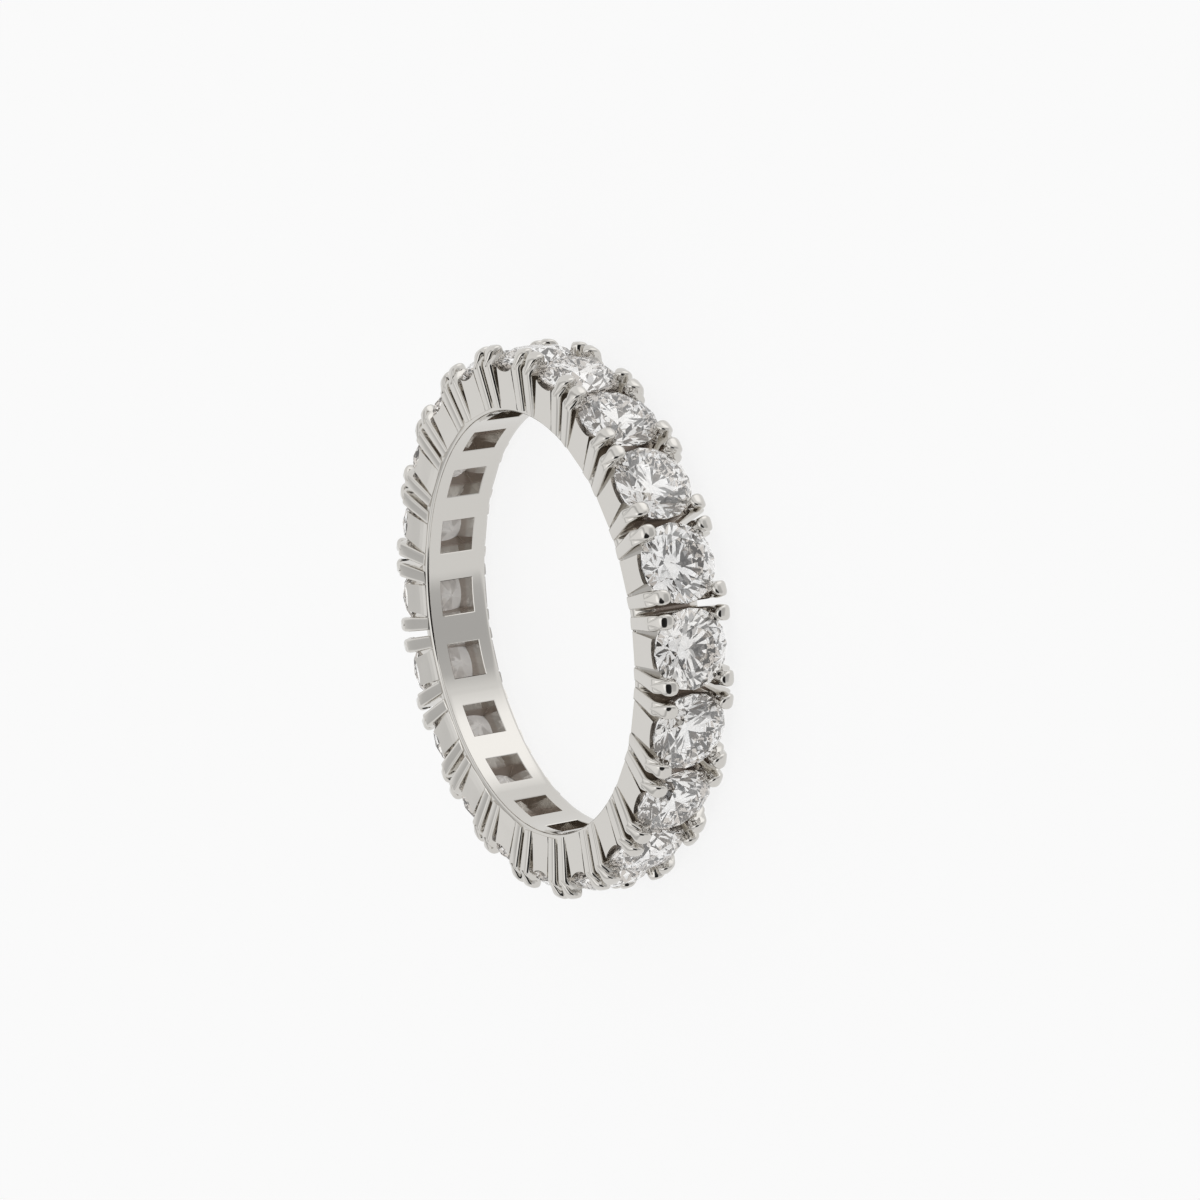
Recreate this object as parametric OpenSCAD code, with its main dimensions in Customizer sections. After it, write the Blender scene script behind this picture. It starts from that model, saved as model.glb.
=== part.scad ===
// Diamond wedding band: a full circle of round brilliants, each in a four-claw box setting.
// The band lies on its side, +Z is the axis of the finger hole and z = 0 is the surface under the claws.

/* [Band] */
// Diameter of the hole for the finger
bore_d = 17.3; // [17:0.1:18]
// Width of the rail that lies on the finger
rail_w = 2.7; // [2.6:0.05:2.8]
// Wall of the rail, from the bore to the foot of the slits
rail_t = 0.42; // [0.36:0.02:0.46]
// Chamfer between the bore and each side face
bore_chamfer = 0.1; // [0.06:0.02:0.14]

/* [Stones] */
// Number of stones round the band
stone_count = 20; // [19:1:21]
// Height of the girdles over the bore
seat_h = 1.95; // [1.9:0.05:2.05]
// Space between the girdles of two neighbours
stone_gap = 0.16; // [0.12:0.02:0.24]
// Table diameter as a share of the stone's diameter
table_share = 0.57; // [0.53:0.01:0.62]
// Angle of the main facets over the girdle
crown_angle = 34.5; // [32:0.5:36]
// Angle of the main facets under the girdle
pavilion_angle = 40.75; // [40:0.25:41.5]
// Clearance between a stone and its seat
seat_gap = 0.04; // [0.03:0.01:0.05]

/* [Settings] */
// Width of the band over its claws
band_w = 3.6; // [3.5:0.02:3.66]
// Height of the claws over the girdles
claw_h = 0.68; // [0.64:0.02:0.72]
// Width of a claw at its head
claw_w = 0.64; // [0.56:0.02:0.68]
// Width of a claw at its foot, beside the panel
claw_foot_w = 0.69; // [0.61:0.02:0.75]
// Depth of a claw's head across the band
claw_d = 0.92; // [0.88:0.02:1]
// Radius of the bend of a claw's head, over the stone
head_r = 0.85; // [0.81:0.01:0.87]
// Width of the slit between two settings at the rail
slit_foot = 0.21; // [0.16:0.01:0.26]
// Width of the slit between two settings at the claws' heads
slit_head = 0.46; // [0.42:0.02:0.54]
// Side of the square window behind each stone
window_w = 1.5; // [1.3:0.05:1.6]
// Depth of the recess between a claw and the side panel, at the stone
recess_depth = 0.3; // [0.16:0.02:0.36]

/* [Hidden] */
$fn = 96;
pitch = 360 / stone_count;
mid_z = band_w / 2;
bore_r = bore_d / 2;
rail_r = bore_r + rail_t;
girdle_r = bore_r + seat_h;
claw_top_r = girdle_r + claw_h;

// Proportions of the round brilliant, and its heights from the middle of the girdle
stone_r = girdle_r * tan(pitch / 2) - stone_gap / 2 / cos(pitch / 2);
girdle_share = 0.05;
girdle_t = stone_r * girdle_share;
star_share = 0.5;
lower_half_share = 0.77;
facet_step = 22.5;
table_r = stone_r * table_share;
star_r = table_r * cos(facet_step) * (1 - star_share) + stone_r * star_share;
lower_r = stone_r * (1 - lower_half_share);
crown_h = girdle_t / 2 + (stone_r - table_r) * tan(crown_angle);
star_h = girdle_t / 2 + (stone_r - star_r * cos(facet_step)) * tan(crown_angle);
lower_h = girdle_t / 2 + (stone_r - lower_r * cos(facet_step)) * tan(pavilion_angle);
pavilion_h = girdle_t / 2 + stone_r * tan(pavilion_angle);

// Settings: x runs out from the axis, y along the band, z across it
root_sink = 0.2;
root_r = rail_r - root_sink;
claw_y = claw_top_r * tan(pitch / 2) - (slit_head + claw_w) / 2;
claw_foot_out = rail_r * tan(pitch / 2) - slit_foot / 2;
claw_foot_in = claw_foot_out - claw_foot_w;
claw_flat = 0.015;
claw_inner_z = mid_z - claw_d;
head_tip_r = claw_top_r - claw_w / 2;
head_x = claw_top_r - head_r;
head_z = mid_z + claw_flat - head_r;
foot_to_head = norm([head_x - rail_r, head_z - rail_w / 2]);
claw_l = sqrt(foot_to_head ^ 2 - head_r ^ 2);
claw_lean = atan2(head_z - rail_w / 2, head_x - rail_r) + asin(head_r / foot_to_head);
bend_x = rail_r + claw_l * cos(claw_lean);
bend_z = rail_w / 2 + claw_l * sin(claw_lean);
panel_drop = 0.16;
panel_flare = 0.225;
panel_taper = 0.06;
panel_inset = 0.11;
panel_top_r = girdle_r - panel_drop;
panel_top_y = claw_foot_in - panel_taper;
panel_top_z = rail_w / 2 + panel_flare;
recess_tip = 0.02;
scallop_r = 1.45;
scallop_depth = 0.17;
culet_gap = 0.072;

stone_names = [for (i = [1 : stone_count]) str("stone_", i < 10 ? "0" : "", i)];

// Points of one ring of the stone: its radius, its height and the angle of its first point
function ring(count, r, h, start) = [
    for (k = [0 : count - 1]) [h, r * cos(start + 360 / count * k), r * sin(start + 360 / count * k)]
];

// Solid of one round brilliant, its axis along +X and the middle of its girdle at the origin
module brilliant() {
    points = concat(
        ring(8, table_r, crown_h, 0),
        ring(8, star_r, star_h, facet_step),
        ring(16, stone_r, girdle_t / 2, 0),
        ring(16, stone_r, -girdle_t / 2, 0),
        ring(8, lower_r, -lower_h, facet_step),
        [[-pavilion_h, 0, 0]]
    );
    star = 8;
    upper = 16;
    lower = 32;
    half = 48;
    culet = 56;
    faces = concat(
        [[for (k = [7 : -1 : 0]) k]],
        [for (k = [0 : 7]) [k, (k + 1) % 8, star + k]],
        [for (k = [0 : 7]) [k, star + k, upper + 2 * k, star + (k + 7) % 8]],
        [for (k = [0 : 7]) [star + k, upper + 2 * k + 1, upper + 2 * k]],
        [for (k = [0 : 7]) [star + k, upper + (2 * k + 2) % 16, upper + 2 * k + 1]],
        [for (k = [0 : 15]) [upper + k, upper + (k + 1) % 16, lower + (k + 1) % 16, lower + k]],
        [for (k = [0 : 7]) [lower + 2 * k, lower + 2 * k + 1, half + k]],
        [for (k = [0 : 7]) [lower + 2 * k + 1, lower + (2 * k + 2) % 16, half + k]],
        [for (k = [0 : 7]) [lower + 2 * k, half + k, culet, half + (k + 7) % 8]]
    );
    polyhedron(points, faces);
}

// Puts its children at setting i, with x still measured from the axis of the band
module at_setting(i) {
    translate([0, 0, mid_z])
        rotate([0, 0, pitch * i])
            children();
}

// Extrudes an outline in x and z along y, both ways from the middle
module across(depth) {
    rotate([90, 0, 0])
        linear_extrude(depth, center = true)
            children();
}

// Rail that lies on the finger, with its two chamfers
module rail() {
    half = rail_w / 2;
    translate([0, 0, mid_z])
        rotate_extrude()
            polygon([
                [bore_r, -half + bore_chamfer],
                [bore_r + bore_chamfer, -half],
                [rail_r, -half],
                [rail_r, half],
                [bore_r + bore_chamfer, half],
                [bore_r, half - bore_chamfer]
            ]);
}

// Outline of both claws as seen along the finger
module claw_front() {
    for (s = [-1, 1]) {
        polygon([
            [root_r, s * claw_foot_in],
            [root_r, s * claw_foot_out],
            [head_tip_r, s * (claw_y + claw_w / 2)],
            [head_tip_r, s * (claw_y - claw_w / 2)]
        ]);
        translate([head_tip_r, s * claw_y])
            circle(d = claw_w);
    }
}

// Outline of both claws as seen along the band
module claw_side() {
    for (s = [-1, 1]) {
        polygon([
            [root_r, s * claw_inner_z],
            [root_r, s * rail_w / 2],
            [rail_r, s * rail_w / 2],
            [bend_x, s * bend_z],
            [head_x, s * head_z],
            [head_x, s * claw_inner_z]
        ]);
        intersection() {
            translate([head_x, s * head_z])
                circle(r = head_r);
            translate([head_x, s * (mid_z + claw_inner_z) / 2])
                square([2 * head_r, claw_d], center = true);
        }
    }
}

// Four claws, round at their heads and filed flat at the sides of the band
module claws() {
    intersection() {
        linear_extrude(band_w, center = true)
            claw_front();
        across(band_w)
            claw_side();
    }
}

// Box under the stone, with flared side panels scalloped under the girdle
module box_walls() {
    intersection() {
        linear_extrude(band_w, center = true)
            difference() {
                polygon([
                    [root_r, -claw_foot_out + panel_inset],
                    [panel_top_r, -claw_y - claw_w / 2 + panel_inset],
                    [panel_top_r, claw_y + claw_w / 2 - panel_inset],
                    [root_r, claw_foot_out - panel_inset]
                ]);
                translate([panel_top_r - scallop_depth + scallop_r, 0])
                    circle(r = scallop_r);
            }
        across(band_w)
            polygon([
                [root_r, -rail_w / 2],
                [rail_r, -rail_w / 2],
                [panel_top_r, -panel_top_z],
                [panel_top_r, panel_top_z],
                [rail_r, rail_w / 2],
                [root_r, rail_w / 2]
            ]);
    }
}

// Three-cornered recesses between the panels and the claws, deeper towards the stone
module recesses() {
    intersection() {
        linear_extrude(band_w, center = true)
            for (s = [-1, 1])
                polygon([
                    [rail_r, s * claw_foot_in],
                    [girdle_r, s * panel_top_y],
                    [girdle_r, s * claw_y],
                    [rail_r, s * (claw_foot_in + recess_tip)]
                ]);
        across(band_w)
            for (s = [-1, 1])
                polygon([
                    [rail_r, s * rail_w / 2],
                    [girdle_r, s * (panel_top_z - recess_depth)],
                    [girdle_r, s * mid_z],
                    [rail_r, s * mid_z]
                ]);
    }
}

// Box and claws of one setting before the stone's seat is cut
module setting() {
    difference() {
        box_walls();
        recesses();
    }
    claws();
}

// Room for one stone and its clearance, turned round the stone's own axis
module seat() {
    translate([girdle_r, 0, 0])
        rotate([0, 90, 0])
            rotate_extrude()
                polygon([
                    [0, -pavilion_h - culet_gap],
                    [stone_r + seat_gap, -girdle_t / 2 - seat_gap / 2],
                    [stone_r + seat_gap, girdle_t / 2 + seat_gap / 2],
                    [star_r + seat_gap, star_h + seat_gap],
                    [table_r, claw_h + seat_gap],
                    [0, claw_h + seat_gap]
                ]);
}

// Square window from the bore to the back of the stone
module window() {
    translate([(bore_r + girdle_r) / 2, 0, 0])
        cube([girdle_r - bore_r + 2 * root_sink, window_w, window_w], center = true);
}

// Soldered metal: the rail, the boxes and the claws
module band() {
    color("lightgray")
        difference() {
            union() {
                rail();
                for (i = [0 : stone_count - 1])
                    at_setting(i)
                        setting();
            }
            for (i = [0 : stone_count - 1])
                at_setting(i) {
                    seat();
                    window();
                }
        }
}

// Stone i of the circle, in its seat
module stone(i) {
    color("aliceblue")
        at_setting(i)
            translate([girdle_r, 0, 0])
                brilliant();
}

band();
for (i = [0 : stone_count - 1])
    stone(i);
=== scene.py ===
import math

import bmesh
import bpy
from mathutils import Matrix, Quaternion, Vector


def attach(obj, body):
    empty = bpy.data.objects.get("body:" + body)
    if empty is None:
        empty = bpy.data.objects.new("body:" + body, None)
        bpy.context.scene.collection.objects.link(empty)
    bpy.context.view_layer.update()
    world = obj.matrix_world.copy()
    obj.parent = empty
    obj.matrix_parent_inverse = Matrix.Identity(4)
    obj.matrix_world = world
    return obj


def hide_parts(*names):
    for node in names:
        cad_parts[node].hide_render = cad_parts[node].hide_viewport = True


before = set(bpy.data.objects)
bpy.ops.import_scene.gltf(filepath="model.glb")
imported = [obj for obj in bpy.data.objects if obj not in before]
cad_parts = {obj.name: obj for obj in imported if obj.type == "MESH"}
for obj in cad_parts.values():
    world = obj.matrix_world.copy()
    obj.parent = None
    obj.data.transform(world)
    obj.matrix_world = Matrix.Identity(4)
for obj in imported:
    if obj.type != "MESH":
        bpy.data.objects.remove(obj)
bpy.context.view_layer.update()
print("frame loaded:", len(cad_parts), "nodes")

mm = 0.001
scene = bpy.context.scene
scene.view_settings.view_transform = "Standard"
scene.view_settings.look = "None"

# The band's own sizes in millimetres, as in the part's source apart from the slightly wider rail
band = {
    "count": 20,
    "boreR": 8.65,
    "railR": 9.07,
    "railHalf": 1.42,
    "midZ": 1.8,
    "girdleR": 10.6,
    "girdleHalf": 0.04,
    "topR": 11.28,
    "stoneR": 1.598,
    "crownSlope": 0.6873,
    "pavilionSlope": 0.8616,
    "seatGap": 0.04,
    "windowHalf": 0.75,
}
pitch = 2 * math.pi / band["count"]
tiny = 0.001  # for comparing places, in millimetres


# Camera: at the photograph's angle to the ring, which lies on its side here; place in millimetres
view = {
    "place": (24.453, -130.009, 72.308),
    "turn": (0.61613534, 0.29398919, 0.41573871, -0.6009234),
    "lens": 110.55,
    "sensor": 36,
    "clip": (0.005, 20),
}


def placeCamera():
    data = bpy.data.cameras.new("photoCamera")
    data.lens = view["lens"]
    data.sensor_width = view["sensor"]
    data.clip_start, data.clip_end = view["clip"]
    camera = bpy.data.objects.new("photoCamera", data)
    camera.location = Vector(view["place"]) * mm
    camera.rotation_mode = "QUATERNION"
    camera.rotation_quaternion = Quaternion(view["turn"])
    scene.collection.objects.link(camera)
    scene.camera = camera
    return camera


camera = placeCamera()
print("camera placed")


# Studio: a soft room of grey tones, with cards that only the metal or only the stones see
def grey(value):
    return (value, value, value)


def towards(azimuth, height):
    a = math.radians(azimuth)
    h = math.radians(height)
    return (math.cos(a) * math.cos(h), math.sin(a) * math.cos(h), math.sin(h))


# Heights run from straight below (0) to straight above (1), and a card's stops are cosines from its middle
studio = {
    "heights": [
        (0.0, grey(0.88)),
        (0.5, grey(0.88)),
        (0.76, grey(0.92)),
        (0.81, grey(0.61)),
        (0.86, grey(0.56)),
        (0.92, grey(0.95)),
        (1.0, grey(1.0)),
    ],
    "cards": [
        (towards(-98, 27), [(0.865, 1.0), (0.885, 0.05), (1.0, 0.02)]),
        (towards(-82, -22), [(0.87, 1.0), (0.93, 0.68), (1.0, 0.62)]),
        (towards(-13, -27), [(0.86, 1.0), (0.96, 1.45), (1.0, 1.5)]),
        (towards(-82, 63), [(0.93, 1.0), (0.97, 1.3), (1.0, 1.35)]),
    ],
    "stoneCards": [
        (Vector(view["place"]).normalized(), [(0.85, 1.0), (0.92, 0.1), (1.0, 0.03)]),
        (towards(90, -20), [(0.4, 1.0), (0.8, 0.8), (1.0, 0.7)]),
    ],
    "stoneTone": 1.0,
}

paper = {
    "side": 2.0,
    "drop": 0.01,
    "clean": 0.85,
    "darkest": 0.88,
    "lightest": 0.92,
    "fibres": 400,
    "rough": 0.9,
}


def addNode(tree, kind, **values):
    node = tree.nodes.new(kind)
    for key, value in values.items():
        setattr(node, key, value)
    return node


def rampStops(node, stops):
    ramp = node.color_ramp
    while len(ramp.elements) < len(stops):
        ramp.elements.new(0.5)
    for element, (place, colour) in zip(ramp.elements, stops):
        element.position = place
        element.color = (*colour, 1) if len(colour) == 3 else colour


def alongDirection(tree, coord, direction):
    dot = addNode(tree, "ShaderNodeVectorMath", operation="DOT_PRODUCT")
    dot.inputs[1].default_value = direction
    tree.links.new(coord.outputs["Generated"], dot.inputs[0])
    return dot.outputs["Value"]


def timesCards(tree, coord, tone, cards):
    for direction, stops in cards:
        card = addNode(tree, "ShaderNodeValToRGB")
        rampStops(card, [(place, grey(value)) for place, value in stops])
        tree.links.new(alongDirection(tree, coord, direction), card.inputs["Fac"])
        both = addNode(tree, "ShaderNodeMix", data_type="RGBA", blend_type="MULTIPLY")
        both.inputs["Factor"].default_value = 1
        tree.links.new(tone, both.inputs["A"])
        tree.links.new(card.outputs["Color"], both.inputs["B"])
        tone = both.outputs["Result"]
    return tone


def buildWorld():
    world = bpy.data.worlds.new("studioWorld")
    scene.world = world
    world.use_nodes = True
    tree = world.node_tree
    tree.nodes.clear()
    coord = addNode(tree, "ShaderNodeTexCoord")
    height = addNode(tree, "ShaderNodeMapRange")
    height.inputs["From Min"].default_value = -1
    tree.links.new(alongDirection(tree, coord, (0, 0, 1)), height.inputs["Value"])
    ramp = addNode(tree, "ShaderNodeValToRGB")
    rampStops(ramp, studio["heights"])
    tree.links.new(height.outputs["Result"], ramp.inputs["Fac"])
    onMetal = timesCards(tree, coord, ramp.outputs["Color"], studio["cards"])
    plain = addNode(tree, "ShaderNodeRGB")
    plain.outputs["Color"].default_value = (*grey(studio["stoneTone"]), 1)
    inStones = timesCards(tree, coord, plain.outputs["Color"], studio["stoneCards"])
    ray = addNode(tree, "ShaderNodeLightPath")
    tone = addNode(tree, "ShaderNodeMix", data_type="RGBA")
    tree.links.new(ray.outputs["Is Transmission Ray"], tone.inputs["Factor"])
    tree.links.new(onMetal, tone.inputs["A"])
    tree.links.new(inStones, tone.inputs["B"])
    back = addNode(tree, "ShaderNodeBackground")
    tree.links.new(tone.outputs["Result"], back.inputs["Color"])
    out = addNode(tree, "ShaderNodeOutputWorld")
    tree.links.new(back.outputs["Background"], out.inputs["Surface"])
    return world


def newMaterial(name):
    material = bpy.data.materials.new(name)
    material.use_nodes = True
    tree = material.node_tree
    tree.nodes.clear()
    shader = addNode(tree, "ShaderNodeBsdfPrincipled")
    out = addNode(tree, "ShaderNodeOutputMaterial")
    tree.links.new(shader.outputs["BSDF"], out.inputs["Surface"])
    return material, tree, shader


def paperMaterial():
    material, tree, shader = newMaterial("whitePaper")
    coord = addNode(tree, "ShaderNodeTexCoord")
    fibre = addNode(tree, "ShaderNodeTexNoise")
    fibre.inputs["Scale"].default_value = paper["fibres"]
    ramp = addNode(tree, "ShaderNodeValToRGB")
    rampStops(ramp, [(0.0, grey(paper["darkest"])), (1.0, grey(paper["lightest"]))])
    tree.links.new(coord.outputs["Object"], fibre.inputs["Vector"])
    tree.links.new(fibre.outputs["Fac"], ramp.inputs["Fac"])
    tree.links.new(ramp.outputs["Color"], shader.inputs["Base Color"])
    shader.inputs["Roughness"].default_value = paper["rough"]
    seen = addNode(tree, "ShaderNodeLightPath")
    glow = addNode(tree, "ShaderNodeEmission")
    lit = addNode(tree, "ShaderNodeMixShader")
    lit.inputs["Fac"].default_value = paper["clean"]
    clear = addNode(tree, "ShaderNodeBsdfTransparent")
    mix = addNode(tree, "ShaderNodeMixShader")
    out = tree.nodes["Material Output"]
    tree.links.new(shader.outputs["BSDF"], lit.inputs[1])
    tree.links.new(glow.outputs["Emission"], lit.inputs[2])
    tree.links.new(seen.outputs["Is Camera Ray"], mix.inputs["Fac"])
    tree.links.new(clear.outputs["BSDF"], mix.inputs[1])
    tree.links.new(lit.outputs["Shader"], mix.inputs[2])
    tree.links.new(mix.outputs["Shader"], out.inputs["Surface"])
    return material


def buildFloor():
    bm = bmesh.new()
    bmesh.ops.create_grid(bm, x_segments=1, y_segments=1, size=paper["side"] / 2)
    bmesh.ops.translate(bm, verts=bm.verts, vec=(0, 0, -paper["drop"] * mm))
    mesh = bpy.data.meshes.new("paperFloor")
    bm.to_mesh(mesh)
    bm.free()
    mesh.materials.append(paperMaterial())
    floor = bpy.data.objects.new("paperFloor", mesh)
    scene.collection.objects.link(floor)
    return floor


buildWorld()
buildFloor()
print("studio ready")


# White metal: bright outside, with painted shade between the boxes where light hardly reaches, and a faint
# painted glow on the inner walls
metal = {
    "bright": (0.67, 0.65, 0.615),
    # Painted shade: the darker colour put inside the boxes and windows
    "paintedShade": (0.35, 0.305, 0.275),
    "deepFrom": (9.15, 9.45),
    "deepTo": (10.3, 10.8),
    "sideFrom": (0.7, 0.86),
    "rough": (0.05, 0.085),
    "roughInside": 0.3,
    # Faint painted glow on the inner walls, fading out towards the stones
    "glow": (0.034, 0.028, 0.023),
    "glowTo": (9.95, 10.35),
    "glowSide": (1.1, 1.42),
    # After so many bounces the metal glows with a plain painted tone
    "lastBounce": 3.5,
    "afterLast": (0.12, 0.104, 0.09),
    "waves": 700,
    "marks": 9000,
    "markRange": (0.3, 0.7),
    "waveHeight": 0.000008,
}


def newGroup(name, inputs, outputs):
    group = bpy.data.node_groups.new(name, "ShaderNodeTree")
    for socketName, kind in inputs:
        group.interface.new_socket(socketName, in_out="INPUT", socket_type=kind)
    for socketName, kind in outputs:
        group.interface.new_socket(socketName, in_out="OUTPUT", socket_type=kind)
    return group, addNode(group, "NodeGroupInput"), addNode(group, "NodeGroupOutput")


def between(tree, value, low, high, fromTone, toTone):
    step = addNode(tree, "ShaderNodeMapRange", interpolation_type="SMOOTHSTEP")
    step.inputs["From Min"].default_value = low
    step.inputs["From Max"].default_value = high
    step.inputs["To Min"].default_value = fromTone
    step.inputs["To Max"].default_value = toTone
    tree.links.new(value, step.inputs["Value"])
    return step.outputs["Result"]


def times(tree, first, second):
    node = addNode(tree, "ShaderNodeMath", operation="MULTIPLY")
    tree.links.new(first, node.inputs[0])
    tree.links.new(second, node.inputs[1])
    return node.outputs["Value"]


def axisDistance(tree, place):
    split = addNode(tree, "ShaderNodeSeparateXYZ")
    tree.links.new(place, split.inputs["Vector"])
    flat = addNode(tree, "ShaderNodeCombineXYZ")
    tree.links.new(split.outputs["X"], flat.inputs["X"])
    tree.links.new(split.outputs["Y"], flat.inputs["Y"])
    distance = addNode(tree, "ShaderNodeVectorMath", operation="LENGTH")
    tree.links.new(flat.outputs["Vector"], distance.inputs[0])
    return distance.outputs["Value"], split.outputs["Z"]


def inMillimetres(tree, distance, limits, fromTone, toTone):
    return between(tree, distance, *[mm * limit for limit in limits], fromTone, toTone)


# Base colour with painted shade inside, a faint painted glow on the inner walls, polish marks in the
# roughness and fine waves for the bump
def polishAndPaintedLightGroup():
    group, given, made = newGroup(
        "polishShadeAndGlow",
        [
            ("Place", "NodeSocketVector"),
            ("Bright", "NodeSocketColor"),
            ("Hidden", "NodeSocketColor"),
            ("Glow", "NodeSocketColor"),
        ],
        [
            ("Color", "NodeSocketColor"),
            ("Roughness", "NodeSocketFloat"),
            ("Height", "NodeSocketFloat"),
            ("Light", "NodeSocketColor"),
        ],
    )
    radius, height = axisDistance(group, given.outputs["Place"])
    lower = addNode(group, "ShaderNodeMath", operation="SUBTRACT")
    lower.inputs[1].default_value = band["midZ"] * mm
    group.links.new(height, lower.inputs[0])
    absolute = addNode(group, "ShaderNodeMath", operation="ABSOLUTE")
    group.links.new(lower.outputs["Value"], absolute.inputs[0])
    across = absolute.outputs["Value"]
    deep = inMillimetres(group, radius, metal["deepFrom"], 0, 1)
    upper = inMillimetres(group, radius, metal["deepTo"], 1, 0)
    side = inMillimetres(group, across, metal["sideFrom"], 1, 0)
    # Painted shade: the darker colour between the boxes and in the windows
    tint = addNode(group, "ShaderNodeMix", data_type="RGBA")
    inner = times(group, deep, upper)
    inside = times(group, inner, side)
    group.links.new(inside, tint.inputs["Factor"])
    group.links.new(given.outputs["Bright"], tint.inputs["A"])
    group.links.new(given.outputs["Hidden"], tint.inputs["B"])
    group.links.new(tint.outputs["Result"], made.inputs["Color"])
    # Painted glow: a faint light colour on the inner walls, nearer the bore
    faint = addNode(group, "ShaderNodeMix", data_type="RGBA")
    faint.inputs["A"].default_value = (0, 0, 0, 1)
    lit = inMillimetres(group, radius, metal["glowTo"], 1, 0)
    litSide = inMillimetres(group, across, metal["glowSide"], 1, 0)
    group.links.new(times(group, inner, times(group, lit, litSide)), faint.inputs["Factor"])
    group.links.new(given.outputs["Glow"], faint.inputs["B"])
    group.links.new(faint.outputs["Result"], made.inputs["Light"])
    marks = addNode(group, "ShaderNodeTexNoise")
    marks.inputs["Scale"].default_value = metal["marks"]
    marks.inputs["Detail"].default_value = 3
    group.links.new(given.outputs["Place"], marks.inputs["Vector"])
    rough = between(group, marks.outputs["Fac"], *metal["markRange"], *metal["rough"])
    dull = addNode(group, "ShaderNodeMix")
    dull.inputs["B"].default_value = metal["roughInside"]
    group.links.new(inside, dull.inputs["Factor"])
    group.links.new(rough, dull.inputs["A"])
    group.links.new(dull.outputs["Result"], made.inputs["Roughness"])
    waves = addNode(group, "ShaderNodeTexNoise")
    waves.inputs["Scale"].default_value = metal["waves"]
    waves.inputs["Detail"].default_value = 1
    group.links.new(given.outputs["Place"], waves.inputs["Vector"])
    group.links.new(waves.outputs["Fac"], made.inputs["Height"])
    return group


# Ends a path after so many bounces with a plain glowing tone, painted light in place of the light that
# would go on
def endAfter(tree, shader, depth, tone):
    ray = addNode(tree, "ShaderNodeLightPath")
    last = addNode(tree, "ShaderNodeMath", operation="GREATER_THAN")
    last.inputs[1].default_value = depth
    tree.links.new(ray.outputs["Ray Depth"], last.inputs[0])
    rest = addNode(tree, "ShaderNodeEmission")
    if isinstance(tone, tuple):
        rest.inputs["Color"].default_value = (*tone, 1)
    else:
        tree.links.new(tone, rest.inputs["Color"])
    ended = addNode(tree, "ShaderNodeMixShader")
    tree.links.new(last.outputs["Value"], ended.inputs["Fac"])
    tree.links.new(shader, ended.inputs[1])
    tree.links.new(rest.outputs["Emission"], ended.inputs[2])
    tree.links.new(ended.outputs["Shader"], tree.nodes["Material Output"].inputs["Surface"])


def metalMaterial():
    material, tree, shader = newMaterial("whiteGold")
    coord = addNode(tree, "ShaderNodeTexCoord")
    polishAndPaintedLight = addNode(tree, "ShaderNodeGroup")
    polishAndPaintedLight.node_tree = polishAndPaintedLightGroup()
    polishAndPaintedLight.inputs["Bright"].default_value = (*metal["bright"], 1)
    polishAndPaintedLight.inputs["Hidden"].default_value = (*metal["paintedShade"], 1)
    polishAndPaintedLight.inputs["Glow"].default_value = (*metal["glow"], 1)
    bump = addNode(tree, "ShaderNodeBump")
    bump.inputs["Strength"].default_value = 1
    bump.inputs["Distance"].default_value = metal["waveHeight"]
    tree.links.new(coord.outputs["Object"], polishAndPaintedLight.inputs["Place"])
    tree.links.new(polishAndPaintedLight.outputs["Color"], shader.inputs["Base Color"])
    tree.links.new(polishAndPaintedLight.outputs["Roughness"], shader.inputs["Roughness"])
    tree.links.new(polishAndPaintedLight.outputs["Height"], bump.inputs["Height"])
    tree.links.new(bump.outputs["Normal"], shader.inputs["Normal"])
    tree.links.new(polishAndPaintedLight.outputs["Light"], shader.inputs["Emission Color"])
    shader.inputs["Emission Strength"].default_value = 1
    shader.inputs["Metallic"].default_value = 1
    endAfter(tree, shader.outputs["BSDF"], metal["lastBounce"], metal["afterLast"])
    return material


# Diamond: glass with a faint warmth, and under the girdle a mirror inside and outside a grey film with a
# faint painted glow
jewel = {
    "ior": 2.417,
    "clear": (1.0, 1.0, 1.0),
    "warm": (1.0, 0.982, 0.955),
    "patch": 450,
    "patchRange": (0.35, 0.65),
    "backFrom": (10.3, 10.5),
    "back": (0.46, 0.43, 0.4),
    "backRough": 0.35,
    "backShare": 0.8,
    # Painted glow on the grey film, nearer the bore
    "backGlow": (0.24, 0.232, 0.224),
    "backGlowTo": (9.9, 10.2),
    "mirror": (0.95, 0.95, 0.95),
    # Paths still bouncing inside a stone end in a painted tone by facet direction, from painted dark to a
    # warm painted glint
    "lastBounce": 5.5,
    "glintsAcross": (9.1, 15.7, 12.3),
    "glints": [(0.35, (0.06, 0.055, 0.05)), (0.55, (0.6, 0.56, 0.52))],
}


def jewelGroup():
    group, given, made = newGroup(
        "faintWarmth",
        [("Place", "NodeSocketVector"), ("Clear", "NodeSocketColor"), ("Warm", "NodeSocketColor")],
        [("Color", "NodeSocketColor")],
    )
    patch = addNode(group, "ShaderNodeTexNoise")
    patch.inputs["Scale"].default_value = jewel["patch"]
    patch.inputs["Detail"].default_value = 0
    group.links.new(given.outputs["Place"], patch.inputs["Vector"])
    tint = addNode(group, "ShaderNodeMix", data_type="RGBA")
    share = between(group, patch.outputs["Fac"], *jewel["patchRange"], 0, 1)
    group.links.new(share, tint.inputs["Factor"])
    group.links.new(given.outputs["Clear"], tint.inputs["A"])
    group.links.new(given.outputs["Warm"], tint.inputs["B"])
    group.links.new(tint.outputs["Result"], made.inputs["Color"])
    return group


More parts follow.
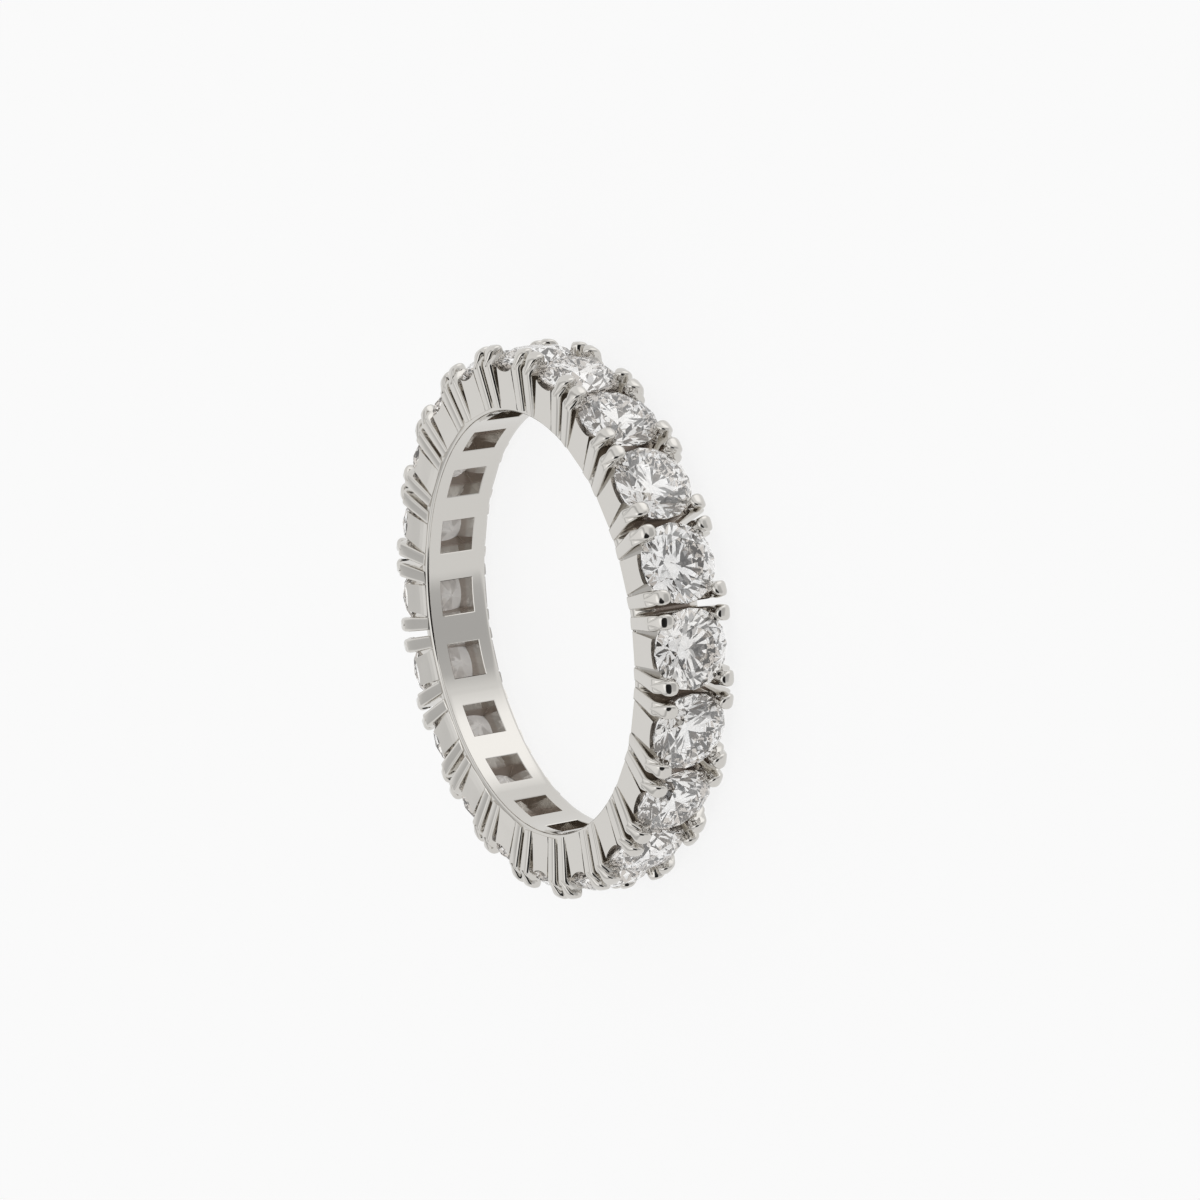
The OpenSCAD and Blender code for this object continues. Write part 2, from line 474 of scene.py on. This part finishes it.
def diamondMaterial():
    material, tree, shader = newMaterial("diamondGlass")
    coord = addNode(tree, "ShaderNodeTexCoord")
    warmth = addNode(tree, "ShaderNodeGroup")
    warmth.node_tree = jewelGroup()
    warmth.inputs["Clear"].default_value = (*jewel["clear"], 1)
    warmth.inputs["Warm"].default_value = (*jewel["warm"], 1)
    tree.links.new(coord.outputs["Object"], warmth.inputs["Place"])
    tree.links.new(warmth.outputs["Color"], shader.inputs["Base Color"])
    shader.inputs["Transmission Weight"].default_value = 1
    shader.inputs["IOR"].default_value = jewel["ior"]
    shader.inputs["Roughness"].default_value = 0
    back = addNode(tree, "ShaderNodeBsdfPrincipled")
    back.inputs["Base Color"].default_value = (*jewel["back"], 1)
    back.inputs["Roughness"].default_value = jewel["backRough"]
    back.inputs["Emission Strength"].default_value = 1
    mirror = addNode(tree, "ShaderNodeBsdfPrincipled")
    mirror.inputs["Base Color"].default_value = (*jewel["mirror"], 1)
    mirror.inputs["Metallic"].default_value = 1
    mirror.inputs["Roughness"].default_value = 0
    radius, _ = axisDistance(tree, coord.outputs["Object"])
    under = inMillimetres(tree, radius, jewel["backFrom"], jewel["backShare"], 0)
    turned = inMillimetres(tree, radius, jewel["backFrom"], 1, 0)
    # Painted glow on the film below the seat, towards the bore
    glow = inMillimetres(tree, radius, jewel["backGlowTo"], 1, 0)
    faint = addNode(tree, "ShaderNodeMix", data_type="RGBA")
    faint.inputs["A"].default_value = (0, 0, 0, 1)
    faint.inputs["B"].default_value = (*jewel["backGlow"], 1)
    tree.links.new(glow, faint.inputs["Factor"])
    tree.links.new(faint.outputs["Result"], back.inputs["Emission Color"])
    side = addNode(tree, "ShaderNodeNewGeometry")
    fromOutside = addNode(tree, "ShaderNodeMath", operation="SUBTRACT")
    fromOutside.inputs[0].default_value = 1
    tree.links.new(side.outputs["Backfacing"], fromOutside.inputs[1])
    film = addNode(tree, "ShaderNodeMixShader")
    tree.links.new(times(tree, under, fromOutside.outputs["Value"]), film.inputs["Fac"])
    tree.links.new(shader.outputs["BSDF"], film.inputs[1])
    tree.links.new(back.outputs["BSDF"], film.inputs[2])
    foil = addNode(tree, "ShaderNodeMixShader")
    tree.links.new(times(tree, turned, side.outputs["Backfacing"]), foil.inputs["Fac"])
    tree.links.new(film.outputs["Shader"], foil.inputs[1])
    tree.links.new(mirror.outputs["BSDF"], foil.inputs[2])
    # Painted glints and dark: a tone by the facet's direction for paths that end inside
    facing = addNode(tree, "ShaderNodeVectorMath", operation="DOT_PRODUCT")
    facing.inputs[1].default_value = jewel["glintsAcross"]
    tree.links.new(side.outputs["True Normal"], facing.inputs[0])
    swing = addNode(tree, "ShaderNodeMath", operation="SINE")
    tree.links.new(facing.outputs["Value"], swing.inputs[0])
    glints = addNode(tree, "ShaderNodeValToRGB")
    rampStops(glints, jewel["glints"])
    tree.links.new(between(tree, swing.outputs["Value"], -1, 1, 0, 1), glints.inputs["Fac"])
    endAfter(tree, foil.outputs["Shader"], jewel["lastBounce"], glints.outputs["Color"])
    return material


whiteGold = metalMaterial()
diamond = diamondMaterial()


def dress(node, material):
    node.data.materials.clear()
    node.data.materials.append(material)


for name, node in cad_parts.items():
    dress(node, whiteGold if name == "band" else diamond)
print("nodes dressed")


# Shared steps for the pieces: x runs out from the band's axis, y along it, z across it
def gridAt(bm, xs, ys):
    made = bmesh.ops.create_grid(bm, x_segments=len(xs) - 1, y_segments=len(ys) - 1, size=0.5)
    for vert in made["verts"]:
        vert.co.x = xs[round((vert.co.x + 0.5) * (len(xs) - 1))]
        vert.co.y = ys[round((vert.co.y + 0.5) * (len(ys) - 1))]


def thicken(bm, levels):
    top = list(bm.faces)
    for before, after in zip(levels, levels[1:]):
        made = bmesh.ops.extrude_face_region(bm, geom=top)
        verts = [item for item in made["geom"] if isinstance(item, bmesh.types.BMVert)]
        top = [item for item in made["geom"] if isinstance(item, bmesh.types.BMFace)]
        bmesh.ops.translate(bm, verts=verts, vec=(0, 0, after - before))


def edgesWhere(bm, test):
    return [edge for edge in bm.edges if all(test(vert.co) for vert in edge.verts)]


def roundOver(bm, edges, offset, segments):
    bmesh.ops.bevel(
        bm,
        geom=edges,
        offset=offset,
        segments=segments,
        profile=0.5,
        affect="EDGES",
        material=-1,
        clamp_overlap=True,
    )


def mirrorAcross(bm, axis):
    bmesh.ops.mirror(bm, geom=bm.verts[:] + bm.edges[:] + bm.faces[:], axis=axis, merge_dist=-1)


def roundTheBand(bm):
    steps = band["count"] - 1
    bmesh.ops.spin(
        bm,
        geom=bm.verts[:] + bm.edges[:] + bm.faces[:],
        cent=(0, 0, 0),
        axis=(0, 0, 1),
        angle=pitch * steps,
        steps=steps,
        use_duplicate=True,
    )


def finishPiece(bm, name, material, nodes, sharp=40):
    bmesh.ops.remove_doubles(bm, verts=bm.verts, dist=tiny / 2)
    bmesh.ops.translate(bm, verts=bm.verts, vec=(0, 0, band["midZ"]))
    bmesh.ops.scale(bm, verts=bm.verts, vec=(mm, mm, mm))
    bmesh.ops.recalc_face_normals(bm, faces=bm.faces)
    for face in bm.faces:
        face.smooth = True
    for edge in bm.edges:
        edge.smooth = len(edge.link_faces) == 2 and edge.calc_face_angle(0) < math.radians(sharp)
    mesh = bpy.data.meshes.new(name)
    bm.to_mesh(mesh)
    bm.free()
    mesh.materials.append(material)
    piece = bpy.data.objects.new(name, mesh)
    scene.collection.objects.link(piece)
    weighted = piece.modifiers.new("evenNormals", "WEIGHTED_NORMAL")
    weighted.keep_sharp = True
    weighted.weight = 80
    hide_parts(*nodes)
    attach(piece, "root")
    print(name, len(mesh.polygons), "faces")
    return piece


# Rail: the inside of the band, with a window behind each stone and a low ridge in each slit
rail = {
    "boreEdge": 0.13,
    "outerEdge": 0.05,
    "windowEdge": 0.025,
    "windowSteps": 6,
    "slitHalf": 0.14,
    "slitShares": (1, 0.9, 0.65, 0.35, 0),
    "slitRidge": 0.5,
    "slitEase": 4,
    "slantDeep": 0.6,
    "slantRows": (0.82, 1.12),
}


def railPoint(u, across, rise):
    radius = band["boreR"] + rise
    fromSlit = (band["boreR"] * pitch / 2 - abs(u)) / rail["slitHalf"]
    outside = rise > (band["railR"] - band["boreR"]) / 4
    if outside and fromSlit < 1:
        inward = min(1, max(0, band["railHalf"] - abs(across)) / rail["slantDeep"])
        radius += rail["slitRidge"] * inward * (1 - max(0, fromSlit) ** rail["slitEase"])
    half = band["windowHalf"]
    reach = math.asin(half / radius)
    if abs(u) <= half:
        angle = math.asin(u / radius)
    else:
        share = (abs(u) - half) / (band["boreR"] * pitch / 2 - half)
        angle = math.copysign(reach + share * (pitch / 2 - reach), u)
    return Vector((radius * math.cos(angle), radius * math.sin(angle), across))


def buildRail():
    half = band["windowHalf"]
    end = band["boreR"] * pitch / 2
    slit = rail["slitHalf"]
    web = [(half + end - slit) / 2] + [end - slit * share for share in rail["slitShares"]]
    over = [half * (2 * step / rail["windowSteps"] - 1) for step in range(rail["windowSteps"] + 1)]
    us = [-value for value in reversed(web)] + over + web
    rows = [half, *rail["slantRows"], band["railHalf"]]
    vs = [-value for value in reversed(rows)] + rows
    bm = bmesh.new()
    gridAt(bm, us, vs)
    hole = [
        face for face in bm.faces
        if abs(face.calc_center_median().x) < half and abs(face.calc_center_median().y) < half
    ]
    bmesh.ops.delete(bm, geom=hole, context="FACES")
    wall = band["railR"] - band["boreR"]
    thicken(bm, [0, wall])
    rim = edgesWhere(bm, lambda co: abs(co.y) > band["railHalf"] - tiny and co.z < tiny)
    roundOver(bm, [edge for edge in rim if edge.calc_length() > tiny], rail["boreEdge"], 3)
    outer = edgesWhere(bm, lambda co: abs(co.y) > band["railHalf"] - tiny and co.z > wall - tiny)
    roundOver(bm, outer, rail["outerEdge"], 2)
    mouth = edgesWhere(bm, lambda co: max(abs(co.x), abs(co.y)) < half + tiny and co.z < tiny)
    roundOver(bm, mouth, rail["windowEdge"], 1)
    ends = [face for face in bm.faces if abs(face.calc_center_median().x) > end - tiny]
    bmesh.ops.delete(bm, geom=ends, context="FACES")
    for vert in bm.verts:
        vert.co = railPoint(vert.co.x, vert.co.y, vert.co.z)
    roundTheBand(bm)
    return finishPiece(bm, "rail", whiteGold, ["band"])


buildRail()


# Boxes: the walls under each stone, with flared side panels and a recess beside each claw
box = {
    "rootR": 8.76,
    "deep": 1.46,
    "rootHalfY": 1.18,
    "topR": 10.44,
    "topHalfY": 1.46,
    "flare": 0.115,
    "panelFootY": 0.6415,
    "panelTopY": 0.5815,
    "recessStart": 0.04,
    "recessDepth": 0.3,
    "scallopR": 1.45,
    "scallopDepth": 0.17,
    "scallopReach": 0.1,
    "seatSink": 0.06,
    "innerHalf": 0.765,
    "lip": 0.03,
    "panelYs": (0.15, 0.3, 0.45),
    "wallYs": (0.9, 1.05),
    "hollowZs": (0.25, 0.5),
    "wallZs": (0.9, 1.05, 1.2),
    "levels": 6,
}


def boxRise(x):
    return (x - band["railR"]) / (box["topR"] - band["railR"])


def boxHalfY(x):
    share = (x - box["rootR"]) / (box["topR"] - box["rootR"])
    return box["rootHalfY"] + share * (box["topHalfY"] - box["rootHalfY"])


def panelHalfY(x):
    return box["panelFootY"] + boxRise(x) * (box["panelTopY"] - box["panelFootY"])


def seatTop(y, z):
    distance = math.hypot(y, z)
    cone = band["girdleR"] - band["girdleHalf"] - box["seatSink"]
    cone -= max(0, band["stoneR"] - distance) * band["pavilionSlope"]
    scallop = box["topR"]
    if abs(y) < box["panelTopY"] + box["scallopReach"]:
        scallop += box["scallopR"] - box["scallopDepth"]
        scallop -= math.sqrt(box["scallopR"] ** 2 - y ** 2)
    return min(box["topR"], cone, scallop)


def buildBoxes():
    inner = box["innerHalf"]
    wide = box["rootHalfY"]
    deep = box["deep"]
    lip = box["lip"]
    foot = box["panelFootY"]
    halfYs = [*box["panelYs"], foot - lip, foot, foot + lip, inner, *box["wallYs"], wide]
    halfZs = [*box["hollowZs"], inner, *box["wallZs"], deep]
    ys = [-value for value in reversed(halfYs)] + [0] + halfYs
    zs = [-value for value in reversed(halfZs)] + [0] + halfZs
    bm = bmesh.new()
    gridAt(bm, ys, zs)
    hole = [
        face for face in bm.faces
        if max(abs(face.calc_center_median().x), abs(face.calc_center_median().y)) < inner
    ]
    bmesh.ops.delete(bm, geom=hole, context="FACES")
    levels = [step / box["levels"] for step in range(box["levels"] + 1)]
    thicken(bm, levels)
    for vert in bm.verts:
        y0, z0, level = vert.co
        x = box["rootR"] + level * (seatTop(y0, z0) - box["rootR"])
        rise = max(0, boxRise(x))
        side = math.copysign(1, y0)
        y = y0
        if abs(y0) > inner:
            y = side * (inner + (abs(y0) - inner) / (wide - inner) * (boxHalfY(x) - inner))
        elif abs(y0) > foot - 1.5 * lip:
            y = side * (panelHalfY(x) + abs(y0) - foot)
        z = z0
        if abs(z0) > inner:
            grown = 1 + (rise * box["flare"]) / (deep - inner)
            z = math.copysign(inner + (abs(z0) - inner) * grown, z0)
        if abs(z0) > deep - tiny and abs(y0) > foot:
            z -= math.copysign(box["recessStart"] + rise * box["recessDepth"], z0)
        vert.co = Vector((x, y, z))
    roundTheBand(bm)
    return finishPiece(bm, "settingBoxes", whiteGold, ["band"])


buildBoxes()


# Claws: a bar up the side of each box, with a bead folded over the stone
# Corners are x and z; half widths go by x on the bar and by the share of its length on the bead
claw = {
    "footY": 1.03,
    "headY": 1.29,
    "bar": [(8.74, 1.5), (10.54, 1.76), (11.03, 1.36), (10.98, 1.1)],
    "barBends": [0.3, 0.25],
    "barBendSteps": 4,
    "barHalf": [(8.74, 0.28), (10.3, 0.325), (10.7, 0.315), (11.0, 0.25)],
    "barColumns": 4,
    "barEdge": 0.075,
    "barWide": 0.33,
    "barCrown": 0.045,
    "barInnerZ": 0.95,
    "barTuck": 0.1,
    "barTuckFrom": (10.4, 10.9),
    "bead": [(10.43, 1.8), (11.24, 1.545), (11.26, 0.93), (10.86, 0.87)],
    "beadBends": [0.45, 0.24],
    "beadBendSteps": 6,
    "beadHalf": [
        (0, 0.02), (0.04, 0.07), (0.12, 0.145), (0.25, 0.215), (0.38, 0.268), (0.5, 0.303), (0.58, 0.308),
        (0.63, 0.3), (0.68, 0.28), (0.72, 0.249), (0.75, 0.213), (0.785, 0.166), (0.82, 0.121),
        (0.855, 0.084), (0.91, 0.056), (1, 0.04),
    ],
    "beadColumns": 10,
    "beadDeep": 0.2,
    "beadCrown": 0.12,
    "crownPower": 4,
    "beadFootX": 10.78,
    "beadFootZ": 0.9,
    "beadFootFrom": (0.3, 0.65),
}


# Corners in x and z, joined by straight runs in three steps and round bends
def bentPath(corners, radii, steps):
    points = [Vector(corner) for corner in corners]
    path = [points[0]]
    for before, at, after, radius in zip(points, points[1:], points[2:], radii):
        into = (at - before).normalized()
        out = (after - at).normalized()
        turn = into.angle(out)
        sense = math.copysign(1, into.x * out.y - into.y * out.x)
        start = at - into * radius * math.tan(turn / 2)
        arm = Vector((into.y, -into.x)) * radius * sense
        centre = start - arm
        straight = [path[-1].lerp(start, step / 3) for step in range(1, 4)]
        path.extend(straight)
        for step in range(1, steps + 1):
            angle = sense * turn * step / steps
            spun = Vector((
                arm.x * math.cos(angle) - arm.y * math.sin(angle),
                arm.x * math.sin(angle) + arm.y * math.cos(angle),
            ))
            path.append(centre + spun)
    path.append(points[-1])
    return path


def valueAt(table, key):
    if key <= table[0][0]:
        return table[0][1]
    for (low, first), (high, second) in zip(table, table[1:]):
        if key <= high:
            return first + (second - first) * (key - low) / (high - low)
    return table[-1][1]


def shareBetween(value, low, high):
    return max(0, min(1, (value - low) / (high - low)))


def barRows():
    rows = []
    for place in bentPath(claw["bar"], claw["barBends"], claw["barBendSteps"]):
        tuck = claw["barTuck"] * shareBetween(place.x, *claw["barTuckFrom"])
        inner = Vector((place.x - tuck, claw["barInnerZ"]))
        half = valueAt(claw["barHalf"], place.x)
        rows.append({"outer": place, "inner": inner, "half": half, "crown": claw["barCrown"]})
    return rows


def beadRows():
    path = bentPath(claw["bead"], claw["beadBends"], claw["beadBendSteps"])
    run = [0]
    for before, after in zip(path, path[1:]):
        run.append(run[-1] + (after - before).length)
    rows = []
    for at, place in enumerate(path):
        share = run[at] / run[-1]
        ahead = (path[min(at + 1, len(path) - 1)] - path[max(at - 1, 0)]).normalized()
        inward = Vector((ahead.y, -ahead.x))
        under = place + inward * claw["beadDeep"]
        foot = Vector((claw["beadFootX"], max(place.y, claw["beadFootZ"])))
        inner = under.lerp(foot, shareBetween(share, *claw["beadFootFrom"]))
        half = valueAt(claw["beadHalf"], share)
        rows.append({"outer": place, "inner": inner, "half": half, "crown": claw["beadCrown"]})
    return rows


# Pushes a point of a claw out of the stone and its gap
def clearOfStone(place):
    distance = math.hypot(place.y, place.z)
    gap = band["seatGap"]
    above = band["girdleR"] + band["girdleHalf"]
    below = band["girdleR"] - band["girdleHalf"]
    need = band["stoneR"] + gap
    if place.x < below:
        need -= (below - place.x) / band["pavilionSlope"]
    elif place.x > above:
        need -= (place.x - above) / band["crownSlope"]
    if distance < need:
        place.z = max(place.z, math.sqrt(max(0, need ** 2 - place.y ** 2)))
    return place


# A solid between the rows' outer and inner lines, with a crown across its outer face
def shell(bm, rows, columns, edge, even):
    count = len(rows) - 1
    if even:
        ys = [2 * step / columns - 1 for step in range(columns + 1)]
    else:
        ys = [math.sin(math.pi / 2 * (2 * step / columns - 1)) for step in range(columns + 1)]
    part = bmesh.new()
    gridAt(part, list(range(count + 1)), ys)
    thicken(part, [0, 0.5, 1])
    if edge:
        rim = edgesWhere(part, lambda co: co.z < tiny and abs(co.y) > 1 - tiny)
        roundOver(part, rim, edge, 3)
    for vert in part.verts:
        along = min(max(vert.co.x, 0), count)
        low = min(int(along + tiny / 10), count - 1)
        share = along - low
        first = rows[low]
        second = rows[low + 1]
        outer = first["outer"].lerp(second["outer"], share)
        inner = first["inner"].lerp(second["inner"], share)
        half = first["half"] + share * (second["half"] - first["half"])
        offset = max(-1, min(1, vert.co.y))
        depth = vert.co.z
        rise = (outer.x - band["railR"]) / (band["topR"] - band["railR"])
        middle = claw["footY"] + rise * (claw["headY"] - claw["footY"])
        toward = (inner - outer).normalized()
        crown = 1 - math.sqrt(max(0, 1 - abs(offset) ** claw["crownPower"]))
        place = outer.lerp(inner, depth) + toward * first["crown"] * crown * (1 - depth)
        vert.co = clearOfStone(Vector((place.x, middle + offset * half, place.y)))
    mesh = bpy.data.meshes.new("clawPart")
    part.to_mesh(mesh)
    part.free()
    bm.from_mesh(mesh)
    bpy.data.meshes.remove(mesh)


def buildClaws():
    bm = bmesh.new()
    shell(bm, barRows(), claw["barColumns"], claw["barEdge"] / claw["barWide"], True)
    shell(bm, beadRows(), claw["beadColumns"], 0, False)
    mirrorAcross(bm, "Y")
    mirrorAcross(bm, "Z")
    roundTheBand(bm)
    return finishPiece(bm, "claws", whiteGold, ["band"])


buildClaws()
